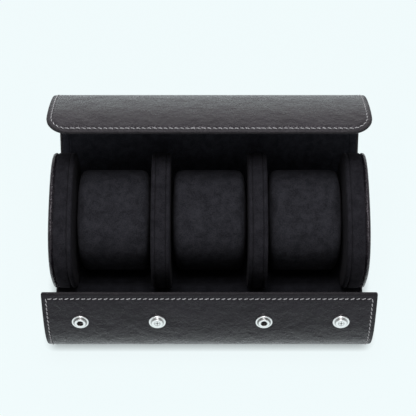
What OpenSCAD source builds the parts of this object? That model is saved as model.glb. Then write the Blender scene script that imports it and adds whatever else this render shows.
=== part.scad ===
// Roll case for three watches, standing open.
// X runs along the roll, -Y is the front, +Z is up and the base stands on Z = 0.
// The tray is drawn in its own section frame: q runs from the front-bottom edge
// to the back-top edge, and p points out of the mouth. The tray then leans back.

/* [Tray section] */
// Height of the oval section, from edge to edge across the mouth
section_h = 93.6; // [86:0.2:102]
// Depth of the oval section, from the base to the mouth
section_d = 81.3; // [74:0.2:90]
// Squareness of the oval: 2 is an ellipse
section_power = 2.57; // [2.3:0.01:3]
// Lean of the open tray on its base, in degrees
tray_tilt_angle = 23; // [18:0.5:28]
// Back edge of the flat sole, behind the tray's axis
sole_back = 13; // [10:0.5:15]
// Angle round the section where the sole's padding runs out
sole_end_angle = -52; // [-56:0.5:-48]

/* [Compartments] */
// Width of each of the three compartments
compartment_w = 53.8; // [46:0.2:62]
// Width of the core of a divider
divider_core_w = 7.3; // [5:0.1:10]
// Thickness of the pad on each face of a divider
divider_pad_t = 3; // [2:0.1:4]
// Width of the core of an end wall
end_core_w = 9.2; // [7:0.1:12]
// Thickness of the pad on the inner face of an end wall
end_pad_t = 3.4; // [2.4:0.1:4.4]
// Thickness of the domed leather cap on the outer face of an end wall
end_cap_t = 3.4; // [2.4:0.1:5]
// Thickness of the suede band round a wall or divider
band_t = 1; // [0.6:0.1:1.6]

/* [Leather wrap] */
// Thickness of the outer leather
leather_t = 1.2; // [0.9:0.1:1.6]
// Thickness of the stiffening board
board_t = 0.8; // [0.6:0.1:1.2]
// Thickness of the suede lining
lining_t = 0.8; // [0.6:0.1:1.2]
// Width of the leather turned over round a flap's edge
hem_w = 2; // [1.4:0.1:3]
// Gap between a closed flap and the walls that it closes on
flap_gap = 0.4; // [0.3:0.05:0.8]

/* [Flaps] */
// Angle round the section, from the back-top edge, of the upper flap's fold
upper_fold_angle = -31.2; // [-36:0.2:-26]
// Angle round the section of the lower flap's fold
lower_fold_angle = 214.2; // [209:0.2:219]
// Angle round the section of the upper flap's free edge when it is closed
upper_edge_angle = 130.2; // [124:0.2:136]
// Angle round the section of the lower flap's free edge when it is closed
lower_edge_angle = 74.3; // [68:0.2:80]
// Angle that the upper flap stands open
upper_open_angle = 46.5; // [30:0.5:60]
// Radius of the upper flap's free corners
corner_r = 14.5; // [8:0.5:20]
// Running gap round the bead of a fold
fold_gap = 0.4; // [0.3:0.05:0.6]

/* [Cushions] */
// Gap between a cushion and each side of its compartment
cushion_side_gap = 0.4; // [0.3:0.05:0.8]
// Gap between a cushion and the lining behind it
cushion_seat_gap = 0.4; // [0.3:0.05:0.8]
// Room left before each end of a cushion for the strap
cushion_end_room = 12.5; // [10:0.5:16]
// Room left in front of a cushion for the watch
cushion_front_room = 15.7; // [12:0.1:20]
// Rise of a cushion towards the back-top edge
cushion_rise = 3.2; // [0:0.1:4]
// How far the sides of a cushion draw in between its corners
cushion_draw = 0.9; // [0.4:0.1:1.4]
// Thickness of the padded cover at its thinnest
cover_t = 2.4; // [1.6:0.1:3.2]

/* [Snaps] */
// Diameter of a snap's flange
snap_d = 11.2; // [9:0.1:13]
// Height of a stud's flange above the leather
snap_proud = 1; // [0.6:0.1:1.2]
// Depth that a stud's flange sinks into the leather
snap_sunk = 0.4; // [0.2:0.1:0.6]
// Diameter of a stud's nub
nub_d = 7.4; // [7:0.1:7.8]
// Height of a stud's nub above its flange
nub_h = 1.2; // [1:0.1:1.4]
// Clearance round the nub in its socket, and over a closed flange
snap_gap = 0.2; // [0.2:0.05:0.4]
// Diameter of the wire of a socket's spring ring
spring_wire_d = 0.5; // [0.4:0.05:0.6]
// Angle round the section of the snaps
snap_angle = 94.3; // [90:0.1:98]
// Distance of the inner pair of snaps from the middle of the row of snaps
snap_inner_x = 35.3; // [28:0.1:42]
// Distance of the outer pair of snaps from the middle of the row of snaps
snap_outer_x = 86.3; // [78:0.1:94]
// How far the row of snaps sits to the right of the roll's middle
snap_shift_x = 0.9; // [0:0.1:1.5]

/* [Hidden] */

leather_color = [0.15, 0.15, 0.17];
suede_color = [0.09, 0.09, 0.10];
board_color = [0.55, 0.50, 0.42];
foam_color = [0.80, 0.80, 0.76];
chrome_color = [0.85, 0.86, 0.88];

// Places along the roll
wrap_t = leather_t + board_t + lining_t;
divider_w = divider_core_w + 2 * divider_pad_t;
divider_x = (compartment_w + divider_w) / 2;
end_pad_x = 1.5 * compartment_w + divider_w;
end_core_x = end_pad_x + end_pad_t;
end_cap_x = end_core_x + end_core_w;
wrap_w = 2 * (end_cap_x + end_cap_t);
inner_w = wrap_w - 2 * hem_w;
compartment_x = compartment_w + divider_w;

// Points on the section. A place is an angle of the superellipse, and out is the distance outside it.
section_steps = 72;
function signed_pow(v, power) = sign(v) * pow(abs(v), power);
function section_point(place) = [
    section_h / 2 * signed_pow(cos(place), 2 / section_power),
    section_d / 2 * signed_pow(sin(place), 2 / section_power)
];
function section_normal(place) =
    let (point = section_point(place),
         slope = [signed_pow(2 * point.x / section_h, section_power - 1) / section_h,
                  signed_pow(2 * point.y / section_d, section_power - 1) / section_d])
    slope / norm(slope);
function section_at(place, out) = section_point(place) + out * section_normal(place);
function section_outline(out) =
    [for (step = [0 : section_steps - 1]) section_at(step * 360 / section_steps, out)];
function turned(point, angle) =
    [point.x * cos(angle) - point.y * sin(angle), point.x * sin(angle) + point.y * cos(angle)];
function turned_about(point, pivot, angle) = pivot + turned(point - pivot, angle);

// How far a cutting shape reaches past what it cuts, and how many sides wide and narrow rounds have
beyond = 1;
wide_faces = 64;
narrow_faces = 48;

// The folds: a round bead on each flap turns in a round groove in the base.
// A bead is a little slimmer than the wrap, so that it stays between the wrap's two faces.
bead_slack = 0.05;
bead_r = wrap_t / 2 - bead_slack;
bead_out = flap_gap + bead_r;
groove_r = bead_r + fold_gap;
upper_fold = section_at(upper_fold_angle, bead_out);
lower_fold = section_at(lower_fold_angle, bead_out);
leather_start_angle = 1;
board_start_angle = 3;

// The closed upper flap leaves room over the lower flap for the snaps' flanges
flap_steps = 36;
overlap_lift = flap_gap + wrap_t + snap_proud + snap_gap;
overlap_lead_angle = 6;
function ease(t) = let (u = min(max(t, 0), 1)) u * u * (3 - 2 * u);
function upper_lift(place) = flap_gap + (overlap_lift - flap_gap)
    * ease((place - upper_fold_angle) / (lower_edge_angle - overlap_lead_angle - upper_fold_angle));
function upper_side(from, to, out) =
    [for (step = [0 : flap_steps]) let (place = from + (to - from) * step / flap_steps)
        section_at(place, upper_lift(place) + out)];
function lower_side(from, to, out) =
    [for (step = [0 : flap_steps]) let (place = from + (to - from) * step / flap_steps)
        section_at(place, flap_gap + out)];
function reversed(list) = [for (i = [len(list) - 1 : -1 : 0]) list[i]];

// Leather is turned over a flap's free edge for the width of a hem
function angle_of(length, place) = length / norm(section_at(place + 1, wrap_t) - section_at(place, wrap_t));
upper_hem_angle = upper_edge_angle - angle_of(hem_w, upper_edge_angle);
lower_hem_angle = lower_edge_angle + angle_of(hem_w, lower_edge_angle);

// The tray stands on the lowest stretch of its wrap. The lower flap opens until it lies on the same surface:
// that angle is found by halving the range between two guesses.
guess_angles = [20, 110];
guess_steps = 16;
wrap_outline = section_outline(wrap_t);
leaned_wrap = [for (point = wrap_outline) turned(point, tray_tilt_angle)];
axis_z = -min([for (point = leaned_wrap) point.y]);
lower_outer = lower_side(lower_fold_angle - leather_start_angle, lower_edge_angle, wrap_t);
function lowest(angle) =
    min([for (point = lower_outer) turned(turned_about(point, lower_fold, angle), tray_tilt_angle).y]);
function lying_angle(low, high, tries) =
    tries == 0 ? low
    : let (middle = (low + high) / 2)
      lowest(middle) > -axis_z ? lying_angle(middle, high, tries - 1) : lying_angle(low, middle, tries - 1);
lower_open_angle = lying_angle(guess_angles[0], guess_angles[1], guess_steps);

// The middle of the open case's depth is the row's origin
opened_upper = [for (point = upper_side(upper_fold_angle + leather_start_angle, upper_edge_angle, wrap_t))
    turned(turned_about(point, upper_fold, -upper_open_angle), tray_tilt_angle).x];
opened_lower = [for (point = lower_outer)
    turned(turned_about(point, lower_fold, lower_open_angle), tray_tilt_angle).x];
axis_y = -(max(opened_upper) + min(opened_lower)) / 2;

// The flat sole runs from the lowest stretch of the wrap to sole_back, and then curves up to meet the wrap.
// The curve's middle point is where the floor meets the wrap's tangent at its end.
touching = 0.01;
front_of_sole = [for (point = leaned_wrap) if (point.y < -axis_z + touching) point.x][0];
sole_steps = 8;
function sole_curve(inset) =
    let (start = [sole_back, inset - axis_z],
         end = turned(section_at(sole_end_angle, wrap_t - inset), tray_tilt_angle),
         normal = turned(section_normal(sole_end_angle), tray_tilt_angle),
         middle = [end.x - (end.y - start.y) * normal.y / -normal.x, start.y])
    [for (step = [0 : sole_steps]) let (t = step / sole_steps)
        (1 - t) * (1 - t) * start + 2 * t * (1 - t) * middle + t * t * end];

module across(width) {
    rotate([90, 0, 90]) linear_extrude(width, center = true) children();
}

module in_tray() {
    translate([0, axis_y, axis_z]) rotate([tray_tilt_angle, 0, 0]) children();
}

module folded(pivot, angle) {
    translate([0, pivot.x, pivot.y]) rotate([angle, 0, 0]) translate([0, -pivot.x, -pivot.y]) children();
}

module in_upper_flap() {
    in_tray() folded(upper_fold, -upper_open_angle) children();
}

module in_lower_flap() {
    in_tray() folded(lower_fold, lower_open_angle) children();
}

// Stands children on the section at a place, with their +Z pointing outwards
module standing(x, place, out) {
    point = section_at(place, out);
    normal = section_normal(place);
    translate([x, point.x, point.y]) rotate([atan2(-normal.x, normal.y), 0, 0]) children();
}

// Base: leather, boards and lining behind the three compartments
module base_sector() {
    reach = 2 * section_h;
    polygon([[0, 0], 2 * lower_fold, [-reach, -reach], [reach, -reach], 2 * upper_fold]);
}

module grooves() {
    translate(upper_fold) circle(groove_r, $fn = narrow_faces);
    translate(lower_fold) circle(groove_r, $fn = narrow_faces);
}

module sole_outline(inset) {
    rotate(-tray_tilt_angle) polygon(concat([[0, 0], [front_of_sole, inset - axis_z]], sole_curve(inset)));
}

module base_layer(inner, outer) {
    difference() {
        intersection() {
            polygon(section_outline(outer));
            base_sector();
        }
        polygon(section_outline(inner));
        grooves();
    }
}

module base_leather() {
    color(leather_color) in_tray() difference() {
        across(wrap_w) {
            base_layer(0, wrap_t);
            difference() {
                sole_outline(0);
                polygon(section_outline(lining_t + board_t));
            }
        }
        across(inner_w) {
            polygon(section_outline(lining_t + board_t));
            sole_outline(leather_t);
        }
    }
}

module base_board() {
    color(board_color) in_tray() across(inner_w) base_layer(lining_t, lining_t + board_t);
}

module base_lining() {
    color(suede_color) in_tray() across(inner_w) base_layer(0, lining_t);
}

module base_sole_board() {
    color(board_color) in_tray() across(inner_w) difference() {
        sole_outline(leather_t);
        polygon(section_outline(lining_t + board_t));
    }
}

// Flaps
module flap_bead(pivot) {
    translate([0, pivot.x, pivot.y]) rotate([0, 90, 0])
        cylinder(wrap_w, r = bead_r, center = true, $fn = narrow_faces);
}

// What a rounded corner takes off both free corners of a flap, drawn in the flap's flat
module corner_waste(width, radius) {
    for (side = [-1, 1]) scale([side, 1]) difference() {
        translate([width / 2 - radius, -wrap_t]) square([radius + beyond, radius + wrap_t]);
        translate([width / 2 - radius, radius]) circle(radius, $fn = wide_faces);
    }
}

module upper_corners(width, radius, inset) {
    point = section_at(upper_edge_angle, upper_lift(upper_edge_angle));
    normal = section_normal(upper_edge_angle);
    translate([0, point.x, point.y]) rotate([atan2(-normal.x, normal.y), 0, 0]) translate([0, inset, 0])
        linear_extrude(section_d, center = true) corner_waste(width, radius);
}

module upper_shell(width, from, to, inner, outer, radius, inset) {
    difference() {
        across(width) polygon(concat(upper_side(from, to, outer), reversed(upper_side(from, to, inner))));
        upper_corners(width, radius, inset);
    }
}

module lower_shell(width, from, to, inner, outer) {
    across(width) polygon(concat(lower_side(from, to, outer), reversed(lower_side(from, to, inner))));
}

module upper_pocket(inner, outer) {
    upper_shell(inner_w, upper_fold_angle + board_start_angle, upper_hem_angle, inner, outer,
        corner_r - hem_w, hem_w);
}

module lower_pocket(inner, outer) {
    lower_shell(inner_w, lower_fold_angle - board_start_angle, lower_hem_angle, inner, outer);
}

module upper_flap_leather() {
    color(leather_color) in_upper_flap() {
        difference() {
            upper_shell(wrap_w, upper_fold_angle + leather_start_angle, upper_edge_angle,
                0, wrap_t, corner_r, 0);
            upper_pocket(-wrap_t, lining_t + board_t);
            for (x = snap_places) socket_seat(x);
        }
        flap_bead(upper_fold);
    }
}

module upper_flap_board() {
    color(board_color) in_upper_flap() difference() {
        upper_pocket(lining_t, lining_t + board_t);
        for (x = snap_places) socket_hole(x);
    }
}

module upper_flap_lining() {
    color(suede_color) in_upper_flap() difference() {
        upper_pocket(0, lining_t);
        for (x = snap_places) socket_hole(x);
    }
}

module lower_flap_leather() {
    color(leather_color) in_lower_flap() {
        difference() {
            lower_shell(wrap_w, lower_fold_angle - leather_start_angle, lower_edge_angle, 0, wrap_t);
            lower_pocket(-wrap_t, lining_t + board_t);
            for (x = snap_places) stud_seat(x);
        }
        flap_bead(lower_fold);
    }
}

module lower_flap_board() {
    color(board_color) in_lower_flap() difference() {
        lower_pocket(lining_t, lining_t + board_t);
        for (x = snap_places) eyelet_seat(x);
    }
}

module lower_flap_lining() {
    color(suede_color) in_lower_flap() lower_pocket(0, lining_t);
}

// Snaps: studs on the outside of the lower flap, sockets on the lining of the upper flap
open_stud_places = [snap_shift_x - snap_outer_x, snap_shift_x + snap_inner_x];
crimped_stud_places = [snap_shift_x - snap_inner_x, snap_shift_x + snap_outer_x];
snap_places = concat(open_stud_places, crimped_stud_places);
seat_fit = 0.05;
seat_r = snap_d / 2 + seat_fit;
flange_round = 0.4;
nub_r = nub_d / 2;
waist_r = nub_r - 0.25;
dish_inner_r = nub_r + 0.1;
dish_outer_r = nub_r + 0.85;
open_dish_depth = 0.5;
crimped_dish_depth = 0.25;
eyelet_r = 2.1;
eyelet_wall = 0.4;
eyelet_flange_r = 3.7;
eyelet_flange_t = 0.4;
open_bore_r = eyelet_r - 0.1;
crimped_bore_r = 0.4;
socket_t = lining_t + board_t;
socket_bore_r = nub_r + snap_gap;
socket_floor = 0.2;
washer_r = 4.5;
washer_t = 0.35;
spring_r = socket_bore_r + spring_wire_d / 2;
spring_height = 0.4;

module on_lower_flap(x) {
    standing(x, snap_angle, flap_gap + wrap_t) children();
}

module on_upper_lining(x) {
    standing(x, snap_angle, upper_lift(snap_angle)) children();
}

module stud_seat(x) {
    on_lower_flap(x) {
        translate([0, 0, -snap_sunk]) cylinder(snap_sunk + wrap_t, r = seat_r, $fn = wide_faces);
        translate([0, 0, -wrap_t]) cylinder(wrap_t, r = eyelet_r + seat_fit, $fn = narrow_faces);
        translate([0, 0, -wrap_t])
            cylinder(wrap_t - leather_t, r = eyelet_flange_r + seat_fit, $fn = narrow_faces);
    }
}

module eyelet_seat(x) {
    on_lower_flap(x) translate([0, 0, -leather_t - eyelet_flange_t - seat_fit])
        cylinder(wrap_t, r = eyelet_flange_r + seat_fit, $fn = narrow_faces);
}

// A stud is a flange with a rolled rim and a dish round its waisted nub; an open one shows the eyelet's hole
module stud(bore_r, dish_depth) {
    top = snap_proud + nub_h;
    rotate_extrude($fn = wide_faces) difference() {
        union() {
            translate([0, -snap_sunk]) square([snap_d / 2 - flange_round, snap_sunk + snap_proud]);
            translate([0, -snap_sunk]) square([snap_d / 2, snap_sunk + snap_proud - flange_round]);
            translate([snap_d / 2 - flange_round, snap_proud - flange_round]) circle(flange_round, $fn = 32);
            square([waist_r, top]);
            translate([0, top - 2 * flange_round]) square([nub_r - flange_round, 2 * flange_round]);
            translate([nub_r - flange_round, top - flange_round]) circle(flange_round, $fn = 32);
        }
        translate([-snap_d, -snap_d]) square([snap_d, 2 * snap_d]);
        translate([0, -snap_sunk - beyond]) square([eyelet_r + seat_fit, snap_sunk + snap_proud + beyond]);
        translate([0, -snap_sunk - beyond]) square([bore_r, top + 2 * snap_sunk + beyond]);
        translate([dish_inner_r, snap_proud - dish_depth]) square([dish_outer_r - dish_inner_r, beyond]);
    }
}

module snap_studs_open() {
    color(chrome_color) in_lower_flap() for (x = open_stud_places) on_lower_flap(x)
        stud(open_bore_r, open_dish_depth);
}

module snap_studs_crimped() {
    color(chrome_color) in_lower_flap() for (x = crimped_stud_places) on_lower_flap(x)
        stud(crimped_bore_r, crimped_dish_depth);
}

module snap_stud_eyelets() {
    color(chrome_color) in_lower_flap() for (x = snap_places) on_lower_flap(x)
        rotate_extrude($fn = narrow_faces) difference() {
            union() {
                translate([0, -leather_t - eyelet_flange_t]) square([eyelet_flange_r, eyelet_flange_t]);
                translate([0, -leather_t]) square([eyelet_r, leather_t + snap_proud - seat_fit]);
            }
            translate([0, -wrap_t]) square([eyelet_r - eyelet_wall, 2 * wrap_t]);
        }
}

// The flap's board and lining have a hole for the socket, and its leather a flat seat for socket and washer
module socket_hole(x) {
    on_upper_lining(x) translate([0, 0, -wrap_t]) cylinder(2 * wrap_t, r = seat_r, $fn = wide_faces);
}

module socket_seat(x) {
    on_upper_lining(x) {
        cylinder(socket_t, r = seat_r, $fn = wide_faces);
        translate([0, 0, socket_t - seat_fit])
            cylinder(washer_t + seat_fit, r = washer_r + seat_fit, $fn = narrow_faces);
    }
}

module snap_sockets() {
    color(chrome_color) in_upper_flap() for (x = snap_places) on_upper_lining(x)
        rotate_extrude($fn = wide_faces) difference() {
            square([snap_d / 2, socket_t]);
            translate([0, -beyond]) square([socket_bore_r, socket_t + beyond - socket_floor]);
            translate([0, spring_height - spring_wire_d / 2 - seat_fit])
                square([spring_r + spring_wire_d / 2 + seat_fit, spring_wire_d + 2 * seat_fit]);
        }
}

module snap_socket_springs() {
    color(chrome_color) in_upper_flap() for (x = snap_places) on_upper_lining(x)
        translate([0, 0, spring_height]) rotate_extrude($fn = narrow_faces)
            translate([spring_r, 0]) circle(spring_wire_d / 2, $fn = 16);
}

module snap_socket_washers() {
    color(chrome_color) in_upper_flap() for (x = snap_places) on_upper_lining(x)
        translate([0, 0, socket_t]) cylinder(washer_t, r = washer_r, $fn = narrow_faces);
}

// Walls: a board core in a suede band, with a pad or a cap on each face
module slab(x, width, out) {
    in_tray() translate([x, 0, 0]) across(width) polygon(section_outline(out));
}

module band(x, width) {
    in_tray() translate([x, 0, 0]) across(width) difference() {
        polygon(section_outline(0));
        polygon(section_outline(-band_t));
    }
}

// A pad or cap swells away from x towards side. Its outline draws in by three steps: a shoulder at the wall,
// a knee, and the crown.
pad_shoulder = 0.35;
pad_draw = 2;
cap_shoulder = 0.5;
cap_draw = 2.4;
knee_share = 0.85;
knee_draw_share = 0.3;
module swelling(x, side, thickness, shoulder, draw_in) {
    knee = knee_share * thickness;
    in_tray() translate([x, 0, 0]) hull() {
        translate([side * shoulder / 2, 0, 0]) across(shoulder) polygon(section_outline(0));
        translate([side * knee / 2, 0, 0]) across(knee) polygon(section_outline(-draw_in * knee_draw_share));
        translate([side * thickness / 2, 0, 0]) across(thickness) polygon(section_outline(-draw_in));
    }
}

module end_board(side) {
    color(board_color) slab(side * (end_core_x + end_core_w / 2), end_core_w, -band_t);
}

module end_band(side) {
    color(suede_color) band(side * (end_core_x + end_core_w / 2), end_core_w);
}

module end_pad(side) {
    color(suede_color) swelling(side * end_core_x, -side, end_pad_t, pad_shoulder, pad_draw);
}

module end_cap(side) {
    color(leather_color) swelling(side * end_cap_x, side, end_cap_t, cap_shoulder, cap_draw);
}

module divider_board(side) {
    color(board_color) slab(side * divider_x, divider_core_w, -band_t);
}

module divider_band(side) {
    color(suede_color) band(side * divider_x, divider_core_w);
}

module divider_pad(side, face) {
    color(suede_color) swelling(side * divider_x + face * divider_core_w / 2, face, divider_pad_t,
        pad_shoulder, pad_draw);
}

module left_end_board() { end_board(-1); }
module left_end_band() { end_band(-1); }
module left_end_pad() { end_pad(-1); }
module left_end_cap() { end_cap(-1); }
module right_end_board() { end_board(1); }
module right_end_band() { end_band(1); }
module right_end_pad() { end_pad(1); }
module right_end_cap() { end_cap(1); }
module left_divider_board() { divider_board(-1); }
module left_divider_band() { divider_band(-1); }
module left_divider_outer_pad() { divider_pad(-1, -1); }
module left_divider_inner_pad() { divider_pad(-1, 1); }
module right_divider_board() { divider_board(1); }
module right_divider_band() { divider_band(1); }
module right_divider_outer_pad() { divider_pad(1, 1); }
module right_divider_inner_pad() { divider_pad(1, -1); }

// Cushions: a crowned cover, drawn in between its corners, over a block of foam
cushion_w = compartment_w - 2 * cushion_side_gap;
cushion_h = section_h - 2 * cushion_end_room;
cushion_d = section_d - cushion_front_room - cushion_seat_gap;
cushion_p = -section_d / 2 + cushion_seat_gap + cushion_d / 2;
cushion_power = 2.8;
crown_power = 12;
around = 32;
along = 14;

function cushion_ring(turn, swell) = [
    cushion_rise + swell * cushion_h / 2 * signed_pow(cos(turn), 2 / cushion_power),
    cushion_p + swell * cushion_d / 2 * signed_pow(sin(turn), 2 / cushion_power)
];
function cushion_point(turn, slant) =
    let (swell = pow(cos(slant), 2 / crown_power),
         drawn = cushion_draw * pow(cos(2 * turn), 2) * pow(abs(sin(slant)), 2),
         half = (cushion_w / 2 - drawn) * signed_pow(sin(slant), 2 / crown_power),
         ring = cushion_ring(turn, swell))
    [half, ring.x, ring.y];
cushion_points = concat(
    [[-cushion_w / 2 + cushion_draw, cushion_rise, cushion_p]],
    [for (row = [1 : along - 1], column = [0 : around - 1])
        cushion_point(column * 360 / around, -90 + row * 180 / along)],
    [[cushion_w / 2 - cushion_draw, cushion_rise, cushion_p]]
);
function cushion_index(row, column) = 1 + (row - 1) * around + column % around;
cushion_last = len(cushion_points) - 1;
cushion_faces = concat(
    [for (column = [0 : around - 1]) [0, cushion_index(1, column), cushion_index(1, column + 1)]],
    [for (row = [1 : along - 2], column = [0 : around - 1], half = [0, 1])
        let (near = cushion_index(row, column), far = cushion_index(row + 1, column + 1))
        half == 0 ? [near, cushion_index(row + 1, column), far] : [near, far, cushion_index(row, column + 1)]],
    [for (column = [0 : around - 1])
        [cushion_last, cushion_index(along - 1, column + 1), cushion_index(along - 1, column)]]
);

core_share = 0.8;
core_inset = 2 * cover_t;
core_gap = 0.2;
module cushion_block(grow) {
    middle = [cushion_rise, cushion_p];
    across(cushion_w - 2 * core_inset + 2 * grow)
        polygon([for (step = [0 : around - 1])
            let (point = cushion_ring(step * 360 / around, core_share))
            point + grow * (point - middle) / norm(point - middle)]);
}

module cushion_cover(place) {
    color(suede_color) in_tray() translate([place * compartment_x, 0, 0]) difference() {
        polyhedron(cushion_points, cushion_faces);
        cushion_block(core_gap);
    }
}

module cushion_core(place) {
    color(foam_color) in_tray() translate([place * compartment_x, 0, 0]) cushion_block(0);
}

module left_cushion_cover() { cushion_cover(-1); }
module left_cushion_core() { cushion_core(-1); }
module center_cushion_cover() { cushion_cover(0); }
module center_cushion_core() { cushion_core(0); }
module right_cushion_cover() { cushion_cover(1); }
module right_cushion_core() { cushion_core(1); }

base_leather();
base_board();
base_lining();
base_sole_board();
upper_flap_leather();
upper_flap_board();
upper_flap_lining();
snap_sockets();
snap_socket_springs();
snap_socket_washers();
lower_flap_leather();
lower_flap_board();
lower_flap_lining();
snap_studs_open();
snap_studs_crimped();
snap_stud_eyelets();
left_end_board();
left_end_band();
left_end_pad();
left_end_cap();
right_end_board();
right_end_band();
right_end_pad();
right_end_cap();
left_divider_board();
left_divider_band();
left_divider_outer_pad();
left_divider_inner_pad();
right_divider_board();
right_divider_band();
right_divider_outer_pad();
right_divider_inner_pad();
left_cushion_cover();
left_cushion_core();
center_cushion_cover();
center_cushion_core();
right_cushion_cover();
right_cushion_core();
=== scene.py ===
"""Looks of an open roll case for three watches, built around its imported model.

Sizes are in millimetres and angles in degrees, in the case's own frame: X runs
along the roll, -Y is the front and the case stands on Z = 0. A mesh is turned
into metres when it is made.
"""

import logging
import math
from collections.abc import Sequence
from dataclasses import dataclass, field
from enum import Enum

import bmesh
import bpy
import numpy as np
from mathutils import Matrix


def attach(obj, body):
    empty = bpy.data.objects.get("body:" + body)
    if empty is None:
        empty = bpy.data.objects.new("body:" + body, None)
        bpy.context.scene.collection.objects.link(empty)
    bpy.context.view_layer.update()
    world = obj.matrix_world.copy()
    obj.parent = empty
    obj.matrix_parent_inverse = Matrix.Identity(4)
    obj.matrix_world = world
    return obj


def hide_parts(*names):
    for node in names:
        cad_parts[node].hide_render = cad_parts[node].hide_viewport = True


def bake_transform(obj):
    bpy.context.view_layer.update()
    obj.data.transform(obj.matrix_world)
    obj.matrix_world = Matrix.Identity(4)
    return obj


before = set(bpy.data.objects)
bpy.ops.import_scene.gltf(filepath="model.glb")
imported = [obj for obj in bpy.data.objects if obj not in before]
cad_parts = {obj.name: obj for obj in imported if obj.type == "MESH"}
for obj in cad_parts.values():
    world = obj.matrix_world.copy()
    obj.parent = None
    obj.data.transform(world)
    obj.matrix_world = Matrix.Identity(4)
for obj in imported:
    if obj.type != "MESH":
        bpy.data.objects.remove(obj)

LOG = logging.getLogger("watch_roll")
MM = 0.001
SEED = 20

WRAP_T = 2.8
FLAP_GAP = 0.4
SNAP_PLACE = 94.3
SNAP_INNER_X = 35.3
SNAP_OUTER_X = 86.3
SNAP_SHIFT_X = 0.9
HALF_W = 110.0


def signed_power(values: np.ndarray, power: float) -> np.ndarray:
    """The size of each value raised to a power, with its sign kept."""
    return np.sign(values) * np.abs(values) ** power


def ease(values: np.ndarray) -> np.ndarray:
    """A smooth step: 3 t^2 - 2 t^3 with t held between 0 and 1."""
    t = np.clip(values, 0, 1)
    return t * t * (3 - 2 * t)


def turned(points: np.ndarray, degrees: float | np.ndarray) -> np.ndarray:
    """Turns plane points about the origin.

    Args:
        points: Points as rows of two numbers.
        degrees: One angle, or one for each point.

    Returns:
        The turned points: (a cos - b sin, a sin + b cos).
    """
    angle = np.radians(degrees)
    a, b = points[..., 0], points[..., 1]
    return np.stack([a * np.cos(angle) - b * np.sin(angle), a * np.sin(angle) + b * np.cos(angle)], axis=-1)


@dataclass(frozen=True)
class Section:
    """The tray's oval section, a superellipse in the tray's own plane (q, p).

    q runs from the front-bottom edge to the back-top edge and p points out of
    the mouth. The plane leans back by tilt, and its origin stands at (y, z).
    """

    height: float = 93.6
    depth: float = 81.3
    power: float = 2.57
    tilt: float = 23.0
    y: float = 10.3342
    z: float = 46.918

    def points(self, places: np.ndarray, out: float | np.ndarray = 0.0) -> np.ndarray:
        """Points on the section or parallel to it.

        Args:
            places: Angles of the superellipse: q = h/2 cos^(2/n), p = d/2 sin^(2/n).
            out: Distance outside the section, along its normal.

        Returns:
            One (q, p) row for each place.
        """
        angle = np.radians(places)
        q = self.height / 2 * signed_power(np.cos(angle), 2 / self.power)
        p = self.depth / 2 * signed_power(np.sin(angle), 2 / self.power)
        slope = np.stack(
            [
                signed_power(2 * q / self.height, self.power - 1) / self.height,
                signed_power(2 * p / self.depth, self.power - 1) / self.depth,
            ],
            axis=-1,
        )
        normal = slope / np.linalg.norm(slope, axis=-1, keepdims=True)
        return np.stack([q, p], axis=-1) + np.asarray(out)[..., None] * normal

    def leaned(self, points: np.ndarray) -> np.ndarray:
        """Section points in the upright plane (Y, Z) of the case."""
        return turned(points, self.tilt) + np.array([self.y, self.z])

    def unleaned(self, points: np.ndarray) -> np.ndarray:
        """Points of the upright plane (Y, Z) in the section's own plane."""
        return turned(points - np.array([self.y, self.z]), -self.tilt)

    def row(self, x: np.ndarray, points: np.ndarray) -> np.ndarray:
        """Rows of (X, Y, Z) for section points that stand at x."""
        return np.concatenate([np.asarray(x, float)[..., None], self.leaned(points)], axis=-1)


@dataclass(frozen=True)
class Fold:
    """A fold of the wrap: the leather bends over a short band between the tray and a flap.

    start and end are the band's two ends in the plane (Y, Z).
    """

    body: str
    pivot: tuple[float, float]
    open_angle: float
    start: tuple[float, float]
    end: tuple[float, float]
    settling_rounds: int = 60

    def share(self, points: np.ndarray) -> np.ndarray:
        """How much each point follows the flap: a smooth step of its place along the band."""
        start, end = np.array(self.start), np.array(self.end)
        band = end - start
        return ease((points[:, 1:] - start) @ band / (band @ band))

    def opened(self, closed: np.ndarray, past: np.ndarray) -> np.ndarray:
        """Opens a closed wrap to its resting pose.

        Each point turns about the fold by its own share of the open angle. The
        share depends on where the point ends up, so it is found by repetition.

        Args:
            closed: Points of the closed case.
            past: Whether each point lies past the fold, on the flap.

        Returns:
            The same points on the open case.
        """
        pivot = np.array(self.pivot)
        arm = closed[:, 1:] - pivot
        share = past.astype(float)
        opened = closed.copy()
        for _ in range(self.settling_rounds):
            opened[:, 1:] = pivot + turned(arm, share * self.open_angle)
            share = 0.5 * share + 0.5 * self.share(opened)
        return opened

    def ends(self) -> tuple[tuple[float, float, float], tuple[float, float, float]]:
        """The band's two ends as points in metres."""
        return tuple((0.0, y * MM, z * MM) for y, z in (self.start, self.end))


@dataclass(frozen=True)
class WallCurve:
    """A half of the wrap's wall: matched lines of its inner and outer face, from the base seam to a free edge."""

    inner: np.ndarray
    outer: np.ndarray

    @property
    def arc(self) -> np.ndarray:
        """Distance of each point along the outer face."""
        steps = np.linalg.norm(np.diff(self.outer, axis=0), axis=1)
        return np.concatenate([[0.0], np.cumsum(steps)])

    @property
    def length(self) -> float:
        """Length of the outer face."""
        return float(self.arc[-1])

    def at(self, s: np.ndarray, t: np.ndarray) -> np.ndarray:
        """Section points at distance s along the wall and height t above its inner face.

        Above the middle of the wall, t is measured down from the outer face, and
        below the middle up from the inner face, along the line that joins them.
        """
        arc = self.arc
        inner = np.stack([np.interp(s, arc, self.inner[:, i]) for i in (0, 1)], axis=-1)
        outer = np.stack([np.interp(s, arc, self.outer[:, i]) for i in (0, 1)], axis=-1)
        across = outer - inner
        across /= np.linalg.norm(across, axis=-1, keepdims=True)
        upper = (t >= WRAP_T / 2)[:, None]
        return np.where(upper, outer - (WRAP_T - t)[:, None] * across, inner + t[:, None] * across)


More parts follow.
